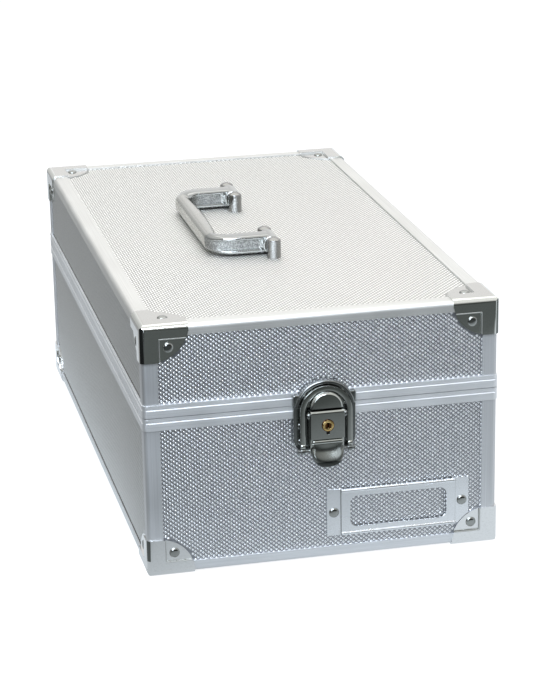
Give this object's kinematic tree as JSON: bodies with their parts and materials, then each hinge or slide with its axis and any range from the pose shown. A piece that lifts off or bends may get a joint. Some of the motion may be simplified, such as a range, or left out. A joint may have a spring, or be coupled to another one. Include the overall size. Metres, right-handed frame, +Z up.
{
  "type": "postcard case",
  "caption": "Small aluminium-framed hard case with a hinged lid, folding chrome handle, keyed draw latch, riveted corner caps and a label holder.",
  "frame": {"origin": "under the middle of the whole part, on the plane that the corner caps rest on", "axes": "+X to the right of the latch, latch faces -Y and hinges are at +Y, +Z up"},
  "size_m": [0.1716, 0.3326, 0.1327],
  "materials": {
    "faced_board": "metallic facing with raised bright dots",
    "frame_profile": "brushed along the profile",
    "cap_chrome": "polished",
    "handle_chrome": "polished, grip satin",
    "latch_chrome": "polished, darker",
    "label_steel": "bright",
    "hinge_steel": "bright",
    "rivet_steel": "bright",
    "key_brass": "turned",
    "lining_felt": "felt"
  },
  "bodies": {
    "base": {"base_floor_panel": "faced_board", "base_front_panel": "faced_board", "base_back_panel": "faced_board", "base_left_panel": "faced_board", "base_right_panel": "faced_board", "base_floor_bar_front": "frame_profile", "base_floor_bar_back": "frame_profile", "base_floor_bar_left": "frame_profile", "base_floor_bar_right": "frame_profile", "base_rim_bar_front": "frame_profile", "base_rim_bar_back": "frame_profile", "base_rim_bar_left": "frame_profile", "base_rim_bar_right": "frame_profile", "base_corner_posts": "frame_profile", "base_cap_front_left": "cap_chrome", "base_cap_front_right": "cap_chrome", "base_cap_back_left": "cap_chrome", "base_cap_back_right": "cap_chrome", "base_cap_rivets": "rivet_steel", "base_lining": "lining_felt", "latch_plate": "latch_chrome", "latch_plate_rivets": "rivet_steel", "latch_lever_pin": "rivet_steel", "label_holder": "label_steel", "label_rivets": "rivet_steel", "hinge_base_leaves": "hinge_steel", "hinge_pins": "rivet_steel", "hinge_base_rivets": "rivet_steel"},
    "lid": {"lid_top_panel": "faced_board", "lid_front_panel": "faced_board", "lid_back_panel": "faced_board", "lid_left_panel": "faced_board", "lid_right_panel": "faced_board", "lid_top_bar_front": "frame_profile", "lid_top_bar_back": "frame_profile", "lid_top_bar_left": "frame_profile", "lid_top_bar_right": "frame_profile", "lid_rim_bar_front": "frame_profile", "lid_rim_bar_back": "frame_profile", "lid_rim_bar_left": "frame_profile", "lid_rim_bar_right": "frame_profile", "lid_corner_posts": "frame_profile", "lid_cap_front_left": "cap_chrome", "lid_cap_front_right": "cap_chrome", "lid_cap_back_left": "cap_chrome", "lid_cap_back_right": "cap_chrome", "lid_cap_rivets": "rivet_steel", "lid_lining": "lining_felt", "handle_posts": "handle_chrome", "handle_pivot_pins": "rivet_steel", "handle_post_screws": "rivet_steel", "latch_catch": "latch_chrome", "latch_catch_rivets": "rivet_steel", "hinge_lid_leaves": "hinge_steel", "hinge_lid_rivets": "rivet_steel"},
    "handle": {"handle_bail": "handle_chrome"},
    "latch_lever": {"latch_lever": "latch_chrome"},
    "latch_loop": {"latch_loop": "latch_chrome", "latch_loop_pin": "rivet_steel"},
    "latch_key": {"latch_key_plug": "key_brass"}
  },
  "joints": [
    {"name": "lid_hinge", "type": "hinge", "parent": "base", "child": "lid", "pos_m": [0, 0.16378, 0.07895], "axis": [-1, 0, 0], "range_deg": [0, 100]},
    {"name": "handle_fold", "type": "hinge", "parent": "lid", "child": "handle", "pos_m": [0, 0.00323, 0.1275], "axis": [0, 1, 0], "range_deg": [0, 180]},
    {"name": "lever_pivot", "type": "hinge", "parent": "base", "child": "latch_lever", "pos_m": [0, -0.16057, 0.07545], "axis": [-1, 0, 0], "range_deg": [0, 95]},
    {"name": "loop_pivot", "type": "hinge", "parent": "latch_lever", "child": "latch_loop", "pos_m": [0, -0.15937, 0.05765], "axis": [-1, 0, 0], "range_deg": [-95, 0]},
    {"name": "key_turn", "type": "hinge", "parent": "latch_lever", "child": "latch_key", "pos_m": [0, -0.16328, 0.07095], "axis": [0, 1, 0], "range_deg": [0, 90]}
  ],
  "couplings": [
    {"joint": "loop_pivot", "follows": "lever_pivot", "ratio": -1}
  ]
}
